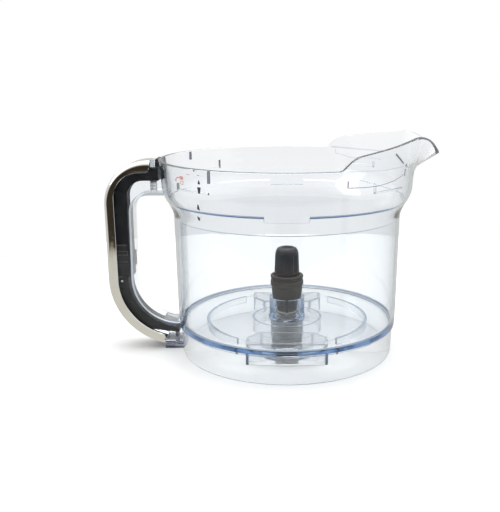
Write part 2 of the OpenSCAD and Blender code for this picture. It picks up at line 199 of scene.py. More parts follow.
def ease(t):
    """0 to 1 with level ends."""
    t = min(max(t, 0), 1)
    return t * t * (3 - 2 * t)


def smooth_lookup(table, x, column):
    """A smooth curve through the table's rows, read at x. It takes the mirror image below zero."""
    rows = [(-table[1][0],) + tuple(table[1][1:])] + list(table) + [
        tuple(2 * b - a for a, b in zip(table[-2], table[-1]))]
    i = 1
    while i < len(rows) - 3 and x > rows[i + 1][0]:
        i += 1
    x0, x1, x2, x3 = (rows[i + k - 1][0] for k in range(4))
    y0, y1, y2, y3 = (rows[i + k - 1][column] for k in range(4))
    t = (x - x1) / (x2 - x1)
    m1 = (y2 - y0) / (x2 - x0) * (x2 - x1)
    m2 = (y3 - y1) / (x3 - x1) * (x2 - x1)
    h = t * t * (3 - 2 * t)
    return y1 + (y2 - y1) * h + m1 * t * (1 - t) ** 2 - m2 * t * t * (1 - t)


# ---------------------------------------------------------------- materials


def material(name):
    """A new material with a Principled shader, as (material, node tree, shader)."""
    mat = bpy.data.materials.new(name)
    mat.use_nodes = True
    tree = mat.node_tree
    shader = next(n for n in tree.nodes if n.type == "BSDF_PRINCIPLED")
    return mat, tree, shader


def noise(tree, scale, detail=3, stretch=(1, 1, 1)):
    """Noise in the object's own space. scale is per metre."""
    place = tree.nodes.new("ShaderNodeTexCoord")
    mapping = tree.nodes.new("ShaderNodeMapping")
    mapping.inputs["Scale"].default_value = stretch
    texture = tree.nodes.new("ShaderNodeTexNoise")
    texture.inputs["Scale"].default_value = scale
    texture.inputs["Detail"].default_value = detail
    tree.links.new(place.outputs["Object"], mapping.inputs["Vector"])
    tree.links.new(mapping.outputs["Vector"], texture.inputs["Vector"])
    return texture.outputs["Fac"]


def spread(tree, value, low, high, start=0.3, end=0.7):
    """Maps a noise to a range of values."""
    node = tree.nodes.new("ShaderNodeMapRange")
    node.inputs["From Min"].default_value = start
    node.inputs["From Max"].default_value = end
    node.inputs["To Min"].default_value = low
    node.inputs["To Max"].default_value = high
    tree.links.new(value, node.inputs["Value"])
    return node.outputs["Result"]


def two_colours(tree, value, first, second):
    """Mixes two colours by a noise."""
    ramp = tree.nodes.new("ShaderNodeValToRGB")
    ramp.color_ramp.elements[0].position = 0.35
    ramp.color_ramp.elements[0].color = (*first, 1)
    ramp.color_ramp.elements[1].position = 0.65
    ramp.color_ramp.elements[1].color = (*second, 1)
    tree.links.new(value, ramp.inputs["Fac"])
    return ramp.outputs["Color"]


def bump(tree, shader, value, height, strength=1.0):
    """Gives the shader a bump of a height in metres."""
    node = tree.nodes.new("ShaderNodeBump")
    node.inputs["Distance"].default_value = height
    node.inputs["Strength"].default_value = strength
    tree.links.new(value, node.inputs["Height"])
    tree.links.new(node.outputs["Normal"], shader.inputs["Normal"])


def solid_plastic(name, dark, light, rough, grain, grain_height, shine=0.5):
    """Moulded plastic: a colour that varies a little, and a fine moulded grain."""
    mat, tree, shader = material(name)
    tree.links.new(two_colours(tree, noise(tree, 60, 4), dark, light), shader.inputs["Base Color"])
    tree.links.new(spread(tree, noise(tree, 140, 5), rough[0], rough[1]), shader.inputs["Roughness"])
    shader.inputs["IOR"].default_value = 1.5
    shader.inputs["Specular IOR Level"].default_value = shine
    bump(tree, shader, noise(tree, grain, 2), grain_height)
    return mat


def metal(name, colour, shade, rough, stretch=(1, 1, 1), height=0.0):
    """Bare metal with faint marks in its polish."""
    mat, tree, shader = material(name)
    shader.inputs["Metallic"].default_value = 1.0
    tree.links.new(two_colours(tree, noise(tree, 90, 4, stretch), colour, shade),
                   shader.inputs["Base Color"])
    tree.links.new(spread(tree, noise(tree, 260, 6, stretch), rough[0], rough[1]),
                   shader.inputs["Roughness"])
    if height:
        bump(tree, shader, noise(tree, 420, 3, stretch), height)
    return mat


def clear_plastic(name, tint, absorb, density, rough=(0.0, 0.03), index=1.55, clear=1.0):
    """Clear moulded plastic: it bends light, darkens it along its thickness, and lets lamps through."""
    mat, tree, shader = material(name)
    out = next(n for n in tree.nodes if n.type == "OUTPUT_MATERIAL")
    shader.inputs["Base Color"].default_value = (*tint, 1)
    shader.inputs["Transmission Weight"].default_value = clear
    shader.inputs["IOR"].default_value = index
    tree.links.new(spread(tree, noise(tree, 55, 5), rough[0], rough[1]), shader.inputs["Roughness"])
    bump(tree, shader, noise(tree, 28, 1), RIPPLE)
    path = tree.nodes.new("ShaderNodeLightPath")
    through = tree.nodes.new("ShaderNodeBsdfTransparent")
    through.inputs["Color"].default_value = (*[0.5 + 0.5 * c for c in tint], 1)
    mix = tree.nodes.new("ShaderNodeMixShader")
    tree.links.new(path.outputs["Is Shadow Ray"], mix.inputs[0])
    tree.links.new(shader.outputs[0], mix.inputs[1])
    tree.links.new(through.outputs[0], mix.inputs[2])
    tree.links.new(mix.outputs[0], out.inputs["Surface"])
    volume = tree.nodes.new("ShaderNodeVolumeAbsorption")
    volume.inputs["Color"].default_value = (*absorb, 1)
    volume.inputs["Density"].default_value = density
    tree.links.new(volume.outputs[0], out.inputs["Volume"])
    return mat


RIPPLE = 0.00002                # height in metres of the waves in a clear surface
ABSORB = ((0.4, 0.6, 0.8), 18)  # colour and density of clear plastic along its thickness
CLEAR = clear_plastic("clear_plastic", (0.985, 0.989, 0.993), *ABSORB)
# Painted shade: a greyer clear tint for the bowl's floor and skirt
SHADED_BASE = clear_plastic("clear_base_painted_shade", (0.968, 0.974, 0.978), *ABSORB)
# Painted shade: a greyer clear tint for the lower wall
SHADED_WALL = clear_plastic("clear_wall_painted_shade", (0.935, 0.947, 0.957), *ABSORB)
SHELL = clear_plastic("clear_shell", (0.97, 0.975, 0.98), *ABSORB, index=1.3)
# Painted shade: darker clear for lines at the ring, the well, the step and the pockets' corners
SHADE_LINE = clear_plastic("clear_painted_shade_line", (0.6, 0.63, 0.7), *ABSORB)
# Painted shade: dark clear for the ledges' undersides and the stops' edges
EDGE_SHADE = clear_plastic("clear_edge_painted_shade", (0.2, 0.21, 0.25), *ABSORB)
# Painted shade: faint grey clear for lines along the rim and the tab's sides
FAINT_SHADE = clear_plastic("clear_faint_painted_shade", (0.84, 0.87, 0.91), *ABSORB)
SMOKY = clear_plastic("smoky_plastic", (0.86, 0.87, 0.9), (0.35, 0.4, 0.5), 140, (0.05, 0.2))
SHROUD = clear_plastic("shroud_plastic", (0.82, 0.83, 0.85), (0.5, 0.52, 0.56), 70, (0.25, 0.45), clear=0.7)
BLACK = solid_plastic("black_plastic", (0.022, 0.022, 0.022), (0.034, 0.034, 0.035), (0.4, 0.55),
                      2600, 0.00002, 0.3)
HEAD = solid_plastic("head_plastic", (0.018, 0.018, 0.02), (0.03, 0.03, 0.033), (0.3, 0.42),
                     2200, 0.00002, 0.4)
BROWN = solid_plastic("brown_plastic", (0.03, 0.026, 0.022), (0.044, 0.038, 0.032), (0.45, 0.6),
                      2400, 0.00003, 0.25)
COLLAR = solid_plastic("collar_plastic", (0.026, 0.024, 0.023), (0.038, 0.035, 0.033), (0.4, 0.55),
                       2400, 0.00003, 0.3)
# Seam lines and painted shade lines, in dark slate, at the lip, the spout's seam and the pockets' tops
SEAM_AND_SHADE = solid_plastic("seam_painted_shade", (0.2, 0.21, 0.26), (0.26, 0.27, 0.32), (0.5, 0.7), 1500, 0.00001)
GREY = solid_plastic("grey_plastic", (0.45, 0.46, 0.48), (0.55, 0.56, 0.58), (0.3, 0.5), 2400, 0.00002)
BUSH = solid_plastic("bush_plastic", (0.3, 0.24, 0.16), (0.38, 0.31, 0.21), (0.4, 0.6), 1800, 0.00003)
NYLON = solid_plastic("washer_plastic", (0.72, 0.72, 0.69), (0.8, 0.8, 0.77), (0.35, 0.5), 1800, 0.00002)
RUBBER = solid_plastic("seal_rubber", (0.012, 0.012, 0.012), (0.02, 0.02, 0.02), (0.55, 0.8), 3200, 0.00004)
TRIM = metal("polished_trim", (0.9, 0.885, 0.84), (0.86, 0.845, 0.8), (0.05, 0.12))
# Painted highlight: pale grey for strips on the ribs' edges
RIB_HIGHLIGHT = solid_plastic("rib_painted_highlight", (0.16, 0.16, 0.16), (0.24, 0.24, 0.24), (0.4, 0.6), 1500, 0.00001)
STEEL = metal("fixing_steel", (0.72, 0.72, 0.74), (0.6, 0.6, 0.62), (0.18, 0.34), height=0.00001)
SHAFT = metal("shaft_steel", (0.78, 0.78, 0.8), (0.68, 0.68, 0.7), (0.12, 0.25), (1, 1, 12), 0.00001)
WIRE = metal("spring_steel", (0.75, 0.75, 0.77), (0.62, 0.62, 0.65), (0.15, 0.3))
INK_DARK = solid_plastic("dark_ink", (0.03, 0.03, 0.035), (0.06, 0.06, 0.07), (0.4, 0.6), 1500, 0.00001)
INK_RED = solid_plastic("red_ink", (0.62, 0.06, 0.05), (0.75, 0.12, 0.1), (0.4, 0.6), 1500, 0.00001)

# ---------------------------------------------------------------- the clear bowl


def outer_r(z):
    """Outer radius of the wall at a height."""
    if z <= FLARE_Z[0]:
        rise = max((z - FLOOR_BOTTOM) / (FLARE_Z[0] - FLOOR_BOTTOM), 0)
        return WALL_R + (WALL_MID_R - WALL_R) * rise ** 0.5
    if z <= FLARE_Z[1]:
        return WALL_MID_R + FLARE * ease((z - FLARE_Z[0]) / (FLARE_Z[1] - FLARE_Z[0]))
    return SHELF_R + (RIM_R - SHELF_R) * ((z - FLARE_Z[1]) / (RIM_Z - FLARE_Z[1])) ** 1.4


# Half the angle that each of these takes round the bowl
TAB_HALF = math.degrees(math.asin(TAB_HALF_WIDTH / 99))
SLOT_HALF = math.degrees(math.asin(GUARD_SLOT[0] / 2 / (GUARD_R - 1)))
RING_GAP_HALF = math.degrees(math.asin(RING_GAP / 2 / 70))


def in_gap(angle, half, centre):
    """True if the angle is within half of a centre, all in degrees."""
    return abs((angle - centre + 180) % 360 - 180) < half


# Angle from the spout's middle, radius and height of the lip's outer edge
LIP = [(0, 129.2, 171.8), (5, 124.8, 177.9), (10, 120.6, 183.1), (15, 116.8, 186.4), (20, 113, 187.5),
       (30, 109.8, 185.6), (36, 108.6, 184.1), (43, 108, 182.5), (50, 108, 181), (57, 108, 179.2),
       (61, 108, 177.8), (63.5, 108, 175.4), (66, 108, 171.6), (WING_HALF + 0.1, 108, 168.1)]
LIP_STEPS = 8
LIP_EDGE = 0.5                  # length of the lip's rounded edge
BEND = 0.25                     # how gently the sheet leans away from the wall
OUTSIDE_Z = (28, 32, 38, 48, 64, 84, 104, 112, 116, 118.5)
INSIDE_Z = (143, 140, 138, 136, 134, 132, 130, 128, 126, 124, 122, 120, 118.5, 116, 112, 104, 84, 64, 48, 40)


def leaning(start, end, t):
    """A point on a curve that leaves its start upright."""
    return Vector((start.x + (end.x - start.x) * t * t,
                   start.y + (end.y - start.y) * (BEND * t + (1 - BEND) * t * t)))


def from_spout(angle):
    """How far an angle is from the middle of the spout, in degrees."""
    return abs((angle + 180) % 360 - 180)


def wall_top(angle):
    """Outer point of the wall's top edge at an angle: the spout's lip, or the rim."""
    a = from_spout(angle)
    if a < WING_HALF:
        return Vector((smooth_lookup(LIP, a, 1), smooth_lookup(LIP, a, 2)))
    return Vector((outer_r(RIM_Z) + STEP_D, RIM_Z))


def wall_outer(angle, z):
    """Outer radius of the wall, or of the spout, at an angle and a height."""
    if z <= SEAM_Z:
        return outer_r(z) + (STEP_D if z > STEP_Z + 0.5 else 0)
    base, top = outer_r(SEAM_Z) + STEP_D, wall_top(angle)
    rise = (z - SEAM_Z) / (top.y - SEAM_Z)
    t = (math.sqrt(BEND ** 2 + 4 * (1 - BEND) * max(rise, 0)) - BEND) / (2 - 2 * BEND)
    return base + (top.x - base) * t * t


def top_outline(angle):
    """The section above the seam: up the outside, round the top edge and down the inside."""
    base, top = Vector((outer_r(SEAM_Z) + STEP_D, SEAM_Z)), wall_top(angle)
    along = (top - base).normalized()
    inward = Vector((-along.y, along.x))
    thick = SPOUT_T if from_spout(angle) < WING_HALF else WALL_T + STEP_D
    tip = [top + along * d * LIP_EDGE + inward * w * thick for d, w in
           ((-2, 0), (-1, 0), (-0.4, 0.06), (-0.09, 0.22), (0, 0.5), (-0.09, 0.78), (-0.4, 0.94), (-1, 1),
            (-2, 1))]
    inner = Vector((base.x - WALL_T - STEP_D, SEAM_Z))
    outside = [leaning(base, tip[0], i / LIP_STEPS) for i in range(LIP_STEPS)]
    inside = [leaning(inner, tip[-1], i / LIP_STEPS) for i in range(LIP_STEPS - 1, -1, -1)]
    return [tuple(p) for p in outside + tip + inside]


def bowl_profile(angle):
    """The outline of the bowl's section at an angle, outside up, over the rim and down inside."""
    tab = any(in_gap(angle, TAB_HALF, c) for c in (90, 270))
    slot = any(in_gap(angle, SLOT_HALF, 60 * i + 30) for i in range(6))
    gap = any(in_gap(angle, RING_GAP_HALF, c) for c in (90, 270))
    step = STEP_Z - TAB_DROP if tab else STEP_Z
    guard = GUARD_Z - GUARD_SLOT[1] if slot else GUARD_Z
    ring = FLOOR_BOTTOM - 0.6 if gap else RING_Z
    under = FLOOR_BOTTOM
    points = [(SKIRT_R - 0.6, 0), (SKIRT_R - 0.1, 0.15), (SKIRT_R, 0.6), (SKIRT_R + 1.0, under - 1.6),
              (SKIRT_R + 1.3, under - 0.9), (SKIRT_R + 2.1, under - 0.5), (WALL_R - 0.05, under - 0.1),
              (WALL_R + 0.1, under + 0.5), (outer_r(under + 1.3), under + 1.3)]
    points += [(outer_r(z), z) for z in OUTSIDE_Z]
    low_steps = [FLARE_Z[0] + (step - 0.5 - FLARE_Z[0]) * i / 8 for i in range(9)] + [step - 0.1]
    points += [(outer_r(z), z) for z in low_steps]
    high_steps = [step + 0.3] + [step + 0.7 + (FLARE_Z[1] - 2.3 - step) * i / 6 for i in range(7)]
    points += [(outer_r(z) + STEP_D, z) for z in high_steps]
    points += [(outer_r(z) + STEP_D, z) for z in (FLARE_Z[1] - 0.4, FLARE_Z[1] + 0.8, 150, 154)]
    points += top_outline(angle)
    points += [(outer_r(z) - WALL_T, z) for z in (154, 150, FLARE_Z[1] + 0.5, FLARE_Z[1] - 0.6)]
    points += [(outer_r(z) - WALL_T, z) for z in INSIDE_Z]
    inside = outer_r(31) - WALL_T
    points += [(inside, 34)] + arc(inside - 3.4, FLOOR_TOP + 3.4, 3.4, 0, -90, 6)
    points += [(85, FLOOR_TOP), (60, FLOOR_TOP), (40, FLOOR_TOP), (24, FLOOR_TOP), (GUARD_R + 1, FLOOR_TOP),
               (GUARD_R + 0.3, FLOOR_TOP + 0.2), (GUARD_R, FLOOR_TOP + 0.8)]
    points += [(GUARD_R, guard - 0.5), (GUARD_R - 0.15, guard - 0.12), (GUARD_R - 0.5, guard),
               (GUARD_R - GUARD_T + 0.5, guard), (GUARD_R - GUARD_T + 0.12, guard - 0.12),
               (GUARD_R - GUARD_T, guard - 0.5), (GUARD_R - GUARD_T, FLOOR_TOP + 0.1),
               (GUARD_R - GUARD_T - 0.1, FLOOR_TOP), (BOSS_R + 0.1, FLOOR_TOP), (BOSS_R, FLOOR_TOP + 0.1),
               (BOSS_R, BOSS_Z[1] - 0.3), (BOSS_R - 0.3, BOSS_Z[1]), (BUSH_R + 0.05, BOSS_Z[1]),
               (BUSH_R + 0.05, BOSS_Z[0]), (BOSS_R - 0.3, BOSS_Z[0]), (BOSS_R, BOSS_Z[0] + 0.3),
               (BOSS_R, under - 0.3), (BOSS_R + 0.3, under), (20, under), (WELL_R - WELL_T - 0.3, under),
               (WELL_R - WELL_T, under - 0.3), (WELL_R - WELL_T, WELL_Z + 0.3),
               (WELL_R - WELL_T + 0.3, WELL_Z),
               (WELL_R - 0.3, WELL_Z), (WELL_R, WELL_Z + 0.3), (WELL_R, under - 0.3),
               (WELL_R + 0.3, under), (50, under), (RING_R - RING_T - 0.2, under),
               (RING_R - RING_T, under - 0.2), (RING_R - RING_T, ring + 0.3),
               (RING_R - RING_T + 0.3, ring), (RING_R - 0.3, ring), (RING_R, ring + 0.3),
               (RING_R, under - 0.2), (RING_R + 0.2, under), (80, under),
               (SKIRT_R + 0.9 - SKIRT_T, under), (SKIRT_R + 1.0 - SKIRT_T, under - 0.5),
               (SKIRT_R - SKIRT_T, 0.5), (SKIRT_R - SKIRT_T + 0.1, 0.15), (SKIRT_R - SKIRT_T + 0.5, 0)]
    return points


def feature_angles():
    """Angles round the bowl, closer at the spout, with a close pair at each edge of a feature."""
    edges = [c + s * TAB_HALF for c in (90, 270) for s in (-1, 1)]
    edges += [60 * i + 30 + s * SLOT_HALF for i in range(6) for s in (-1, 1)]
    edges += [c + s * RING_GAP_HALF for c in (90, 270) for s in (-1, 1)]
    edges = [e % 360 for e in edges]
    fine, near = 0.75, 0.06
    angles = [i * fine for i in range(480) if i % 2 == 0 or from_spout(i * fine) < WING_HALF]
    angles = [a for a in angles if all(abs(a - e) > 0.3 for e in edges)]
    return sorted(angles + [e + d for e in edges for d in (-near, near)])


def build_bowl():
    """Wall, rim, spout, floor, hub guard, boss, well, ring and skirt as one clear piece."""
    bowl = revolve("clear_bowl", bowl_profile, feature_angles(), 28)
    bowl.data.materials.append(CLEAR)

    def on_step(r, z, angle):
        tab = any(in_gap(angle, TAB_HALF + 0.2, c) for c in (90, 270))
        return r > 95 and angle < 0 and abs(z - STEP_Z + (TAB_DROP if tab else 0) - 0.1) < 0.2

    # Painted shade: the floor and skirt are tinted greyer, for the shaded table under the bowl
    paint(bowl, SHADED_BASE, lambda r, z, angle, face: z < FLOOR_TOP + 0.1 and r > BOSS_R + 1)
    # Painted shade: dark lines along the lower edges of the ring and the well
    paint(bowl, SHADE_LINE, lambda r, z, angle, face: z < RING_Z + 0.4 and RING_R - RING_T < r < RING_R
          or z < WELL_Z + 0.4 and WELL_R - WELL_T - 0.1 < r < WELL_R)
    # Painted shade: the wall below the flare is tinted greyer
    paint(bowl, SHADED_WALL, lambda r, z, angle, face: FLOOR_TOP + 2 < z < FLARE_Z[0] and r > 80)
    # Painted shade: a dark line along the step, on the front half of the bowl only
    paint(bowl, SHADE_LINE, lambda r, z, angle, face: on_step(r, z, angle))
    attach(bowl, "bowl_body")
    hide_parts("bowl", "base_skirt", "pour_spout")


def solid_from_outline(verts, faces, outline, z0, z1):
    """Adds an upright prism of an outline to a mesh's lists."""
    base, count = len(verts), len(outline)
    verts.extend((x, y, z) for z in (z0, z1) for x, y in outline)
    faces.append(tuple(base + k for k in range(count)))
    faces.append(tuple(base + count + k for k in range(count)))
    for k in range(count):
        n = (k + 1) % count
        faces.append((base + k, base + n, base + count + n, base + count + k))


def pocket_outline(inset):
    """Outline of the front lock pocket, moved in."""
    w, y0, y1 = POCKET_HALF - inset, POCKET_Y + inset, ring_high.y - inset
    side_y, back_x = -y0 - POCKET_CUT[1] + inset / 2, w - POCKET_CUT[0]
    return [(-w, -y1), (w, -y1), (w, side_y), (back_x, -y0), (-back_x, -y0), (-w, side_y)]


def build_lock_pockets():
    """Two thin-walled pockets under the floor, open below, with a window in their outer wall."""
    top, low = FLOOR_BOTTOM - 0.05, POCKET_Z + 0.3
    verts, faces = [], []
    for side in (1, -1):
        outer = rounded(pocket_outline(0), 1.6, 4)
        inner = rounded(pocket_outline(POCKET_T), 0.8, 4)
        base, count = len(verts), len(outer)
        for ring, z in ((outer, low), (outer, top), (inner, top - 1.2), (inner, low)):
            verts.extend((x * side, y * side, z) for x, y in ring)
        # The outer wall, the inner wall and the lower edge between them
        for a, b in ((0, count), (2 * count, 3 * count), (3 * count, 0)):
            for k in range(count):
                n = (k + 1) % count
                faces.append((base + a + k, base + a + n, base + b + n, base + b + k))
        faces += [tuple(range(base + ring * count, base + (ring + 1) * count)) for ring in (1, 2)]
    pockets = make_object("lock_pockets", verts, faces, 30)
    for side in (1, -1):
        verts, faces = [], []
        corners = [(-WINDOW_HALF, -75 * side), (WINDOW_HALF, -75 * side),
                   (WINDOW_HALF, -68 * side), (-WINDOW_HALF, -68 * side)]
        low, high = (POCKET_Z + z for z in WINDOW_Z)
        solid_from_outline(verts, faces, rounded(corners, 0.5, 2), low, high)
        cut_out(pockets, make_object("cutter", verts, faces))
    pockets.data.materials.append(CLEAR)
    # Painted shade: the pockets' narrow corner faces are darkened into upright lines
    paint(pockets, SHADE_LINE, lambda r, z, angle, face: face.area < 9 * MM * MM and POCKET_Z + 1 < z < top - 2)
    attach(pockets, "bowl_body")
    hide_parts("lock_ring")


def build_pocket_lines():
    """A painted shade line, dark, where each pocket's walls meet the floor."""
    verts, faces = [], []
    z1 = FLOOR_BOTTOM - 0.2
    for side in (1, -1):
        outer = rounded(pocket_outline(-0.3), 1.7, 4)
        inner = rounded(pocket_outline(-0.05), 1.6, 4)
        base = len(verts)
        for (ax, ay), (bx, by) in zip(outer, inner):
            verts.extend([(ax * side, ay * side, z1 - 0.7), (ax * side, ay * side, z1),
                          (bx * side, by * side, z1), (bx * side, by * side, z1 - 0.7)])
        faces += grid_faces(len(outer), 4, True, base)
    lines = make_object("pocket_lines", verts, faces, 30)
    lines.data.materials.append(SEAM_AND_SHADE)
    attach(lines, "bowl_body")


def cut_out(piece, cutter):
    """Takes one closed mesh out of another, and removes the cutter."""
    boolean = piece.modifiers.new("cut", "BOOLEAN")
    boolean.operation = "DIFFERENCE"
    boolean.solver = "EXACT"
    boolean.object = cutter
    bpy.context.view_layer.update()
    mesh = bpy.data.meshes.new_from_object(piece.evaluated_get(bpy.context.evaluated_depsgraph_get()))
    piece.modifiers.clear()
    piece.data = mesh
    bpy.data.objects.remove(cutter)


def build_lid_ramps():
    """Ledges and stops inside the rim that the lid turns under, as one piece of separate solids."""
    verts, faces, upright = [], [], []

    def rib(start, span, z0, z1):
        steps = max(2, int(span / 1.5))
        wall, edge = outer_r(z0) - WALL_T + 0.02, outer_r(z0) - WALL_T - RAMP_T
        section = rounded([(wall, z0), (wall, z1), (edge, z1), (edge, z0)], 0.3, 2)
        base = len(verts)
        for i in range(steps + 1):
            verts.extend(turned(r, z, start + span * i / steps) for r, z in section)
        faces.extend(grid_faces(steps + 1, len(section), base=base))

    for i, a in enumerate(LOCK_ANGLES):
        rib(a + 0.65, LOCK_SPAN - 0.65, *RAMP_Z)
        rib(a, 0.6, RAMP_Z[0], 157 if i == 0 else 155)
        if i < 2:
            low = 160.2 if i == 0 else 157.8
            rib(a + LOCK_SPAN + 0.1, 0.9, low, RIM_Z - 0.5)
            upright += [(a + 0.3, 149, 157.2), (a + LOCK_SPAN + 0.5, low - 0.5, RIM_Z)]
    ramps = make_object("lid_ramps", verts, faces, 30)
    ramps.data.materials.append(CLEAR)
    # Painted shade: the ledges' undersides and the stops' upright edges are dark
    paint(ramps, EDGE_SHADE, lambda r, z, angle, face: z < RAMP_Z[0] + 0.1 or any(
        in_gap(angle, 0.6, a) and z0 < z < z1 for a, z0, z1 in upright))
    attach(ramps, "bowl_body")


# ---------------------------------------------------------------- the handle

TOP_R, LOW_R = 38.2, 60.2       # radii of the trim's upper and lower bends, and their centres
TOP_C = (TOP_R + trim_low.x, 128.1)
LOW_C = (LOW_R + trim_low.x, 63)
LIP_TOP_C, LIP_TOP_R, LIP_LOW_R = (-124.5, 134.3), 22, 51    # the same for its flanks' inner edge
CURL_R = 4.2
TRIM_HALF = trim_high.y
TRIM_T = 1.7
TRIM_EDGE = 4.6                 # radius between the trim's back and its flanks
TRIM_END = trim_low.x + 40.3    # where the trim ends at the top, measured along X
LOW_END = 257                   # angle of its lower end round the lower bend
LOW_CORNER = 2.6                # size of the rounded corner there


def on_arc(centre, r, angle):
    """A point at an angle in degrees on an arc in X and Z."""
    return (centre[0] + r * math.cos(math.radians(angle)), centre[1] + r * math.sin(math.radians(angle)))


def trim_stations():
    """Pairs of a point on the trim's spine and one on its flank's inner edge, from the rim to the foot."""
    pairs = []
    curl = (TRIM_END - CURL_R, LIP_TOP_C[1] + LIP_TOP_R + CURL_R)

    def spine_angle(x):
        return math.degrees(math.acos((x - TOP_C[0]) / TOP_R))

    for i in range(12):
        lip = on_arc(curl, CURL_R, -90 * i / 12)
        pairs.append((on_arc(TOP_C, TOP_R, spine_angle(lip[0])), lip))
    for i in range(5):
        x = curl[0] + (LIP_TOP_C[0] - curl[0]) * i / 5
        pairs.append((on_arc(TOP_C, TOP_R, spine_angle(x)), (x, LIP_TOP_C[1] + LIP_TOP_R)))
    steps = 44
    first = spine_angle(LIP_TOP_C[0])
    for i in range(steps + 1):
        t = i / steps
        pairs.append((on_arc(TOP_C, TOP_R, first + (180 - first) * t),
                      on_arc(LIP_TOP_C, LIP_TOP_R, 90 + 90 * t)))
    lip_x0, lip_x1 = LIP_TOP_C[0] - LIP_TOP_R, LOW_C[0] - LIP_LOW_R
    for i in range(1, 20):
        t = i / 20
        pairs.append(((trim_low.x, TOP_C[1] + (LOW_C[1] - TOP_C[1]) * t),
                      (lip_x0 + (lip_x1 - lip_x0) * ease(t), LIP_TOP_C[1] + (LOW_C[1] - LIP_TOP_C[1]) * t)))
    for i in range(steps + 1):
        angle = 180 + (LOW_END - 180) * i / steps
        corner = min(max((angle - LOW_END + LOW_CORNER) / LOW_CORNER, 0), 1)
        lip_r = LIP_LOW_R + LOW_CORNER * (1 - math.sqrt(1 - corner ** 2))
        pairs.append((on_arc(LOW_C, LOW_R, angle), on_arc(LOW_C, lip_r, angle)))
    return pairs


def trim_section(depth):
    """The trim's closed section as (distance in from the spine, place across the handle)."""
    w, t, r = TRIM_HALF, TRIM_T, TRIM_EDGE
    bead = 0.35
    half = [(0, 0), (0.02, w * 0.35)] + [
        (r - r * math.cos(math.radians(a)), w - r + r * math.sin(math.radians(a)))
        for a in range(0, 91, 10)]
    half += [(depth * 0.6, w), (depth - 1.5, w), (depth - 0.9, w + bead * 0.7),
             (depth - 0.3, w + bead * 0.6), (depth, w - 0.1), (depth - 0.1, w - t + 0.5),
             (depth - 0.5, w - t + 0.2)]
    ri = r - t
    half += [(depth * 0.6, w - t)] + [
        (t + ri - ri * math.cos(math.radians(a)), w - t - ri + ri * math.sin(math.radians(a)))
        for a in range(90, -1, -15)] + [(t, 0)]
    mirror = [(s, -y) for s, y in reversed(half[1:-1])]
    return half + mirror


def build_trim():
    """The polished channel over the outside of the handle."""
    verts = []
    pairs = trim_stations()
    for (ox, oz), (ix, iz) in pairs:
        out, lip = Vector((ox, oz)), Vector((ix, iz))
        depth = (lip - out).length
        inward = (lip - out) / depth
        section = trim_section(depth)
        verts += [(ox + inward.x * s, y, oz + inward.y * s) for s, y in section]
    trim = make_object("metal_trim", verts, grid_faces(len(pairs), len(section)), 40)
    trim.data.materials.append(TRIM)
    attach(trim, "bowl_body")
    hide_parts("handle_trim")


def build_spring():
    """The return spring as a wound wire."""
    x = (spring_low.x + spring_high.x) / 2
    radius, wire, turns, per_turn = 2.85, 0.36, 7, 24
    z0, z1 = spring_low.z + wire, spring_high.z - wire
    curve = bpy.data.curves.new("return_spring", "CURVE")
    curve.dimensions = "3D"
    curve.bevel_depth = wire * MM
    curve.bevel_resolution = 4
    spline = curve.splines.new("POLY")
    count = turns * per_turn
    spline.points.add(count)
    for i in range(count + 1):
        a = 2 * math.pi * i / per_turn
        z = z0 + (z1 - z0) * i / count
        spline.points[i].co = (*(Vector((x + radius * math.cos(a), radius * math.sin(a), z)) * MM), 1)
    obj = bpy.data.objects.new("return_spring", curve)
    bpy.context.scene.collection.objects.link(obj)
    bpy.context.view_layer.update()
    mesh = bpy.data.meshes.new_from_object(obj.evaluated_get(bpy.context.evaluated_depsgraph_get()))
    bpy.data.objects.remove(obj)
    spring = bpy.data.objects.new("return_spring", mesh)
    bpy.context.scene.collection.objects.link(spring)
    mesh.polygons.foreach_set("use_smooth", [True] * len(mesh.polygons))
    mesh.materials.clear()
    mesh.materials.append(WIRE)
    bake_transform(spring)
    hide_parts("interlock_spring")


# ---------------------------------------------------------------- prints


def stroke(verts, faces, points):
    """Adds a thin line on the outside of the wall, through points of (angle, height, width)."""
    base, last = len(verts), len(points) - 1
    for i, (angle, z, width) in enumerate(points):
        before, after = points[max(i - 1, 0)], points[min(i + 1, last)]
        r = wall_outer(angle, z)
        along = Vector((math.radians(after[0] - before[0]) * r, after[1] - before[1])).normalized()
        for side, lift in ((-0.5, 0.02), (0.5, 0.02), (0.5, 0.08), (-0.5, 0.08)):
            a = angle - math.degrees(along.y * width * side / r)
            h = z + along.x * width * side
            verts.append(turned(wall_outer(a, h) + lift, h, a))
    faces += grid_faces(last + 1, 4, base=base)


def front_angle(x, z):
    """Angle of the point at x and a height on the front of the wall."""
    return -math.degrees(math.acos(x / wall_outer(180, z)))


def upright_stroke(x, z0, z1, low_width, high_width):
    """Points of a line that looks upright from the front."""
    return [(front_angle(x, z0 + (z1 - z0) * i / 4), z0 + (z1 - z0) * i / 4,
             low_width + (high_width - low_width) * i / 4) for i in range(5)]


def level_stroke(x0, x1, z, width):
    """Points of a level line on the front of the wall."""
    return [(front_angle(x0 + (x1 - x0) * i / 6, z), z, width) for i in range(7)]


def curve_stroke(knots, width):
    """Points along straight runs between knots of (angle, height)."""
    points = []
    for (a0, z0), (a1, z1) in zip(knots, knots[1:]):
        points += [(a0 + (a1 - a0) * i / 8, z0 + (z1 - z0) * i / 8, width) for i in range(8)]
    return points + [(*knots[-1], width)]


def build_strokes(name, mat, lines):
    """Lines on the wall's outside as one piece."""
    verts, faces = [], []
    for line in lines:
        stroke(verts, faces, line)
    obj = make_object(name, verts, faces, 60)
    obj.data.materials.append(mat)
    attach(obj, "bowl_body")


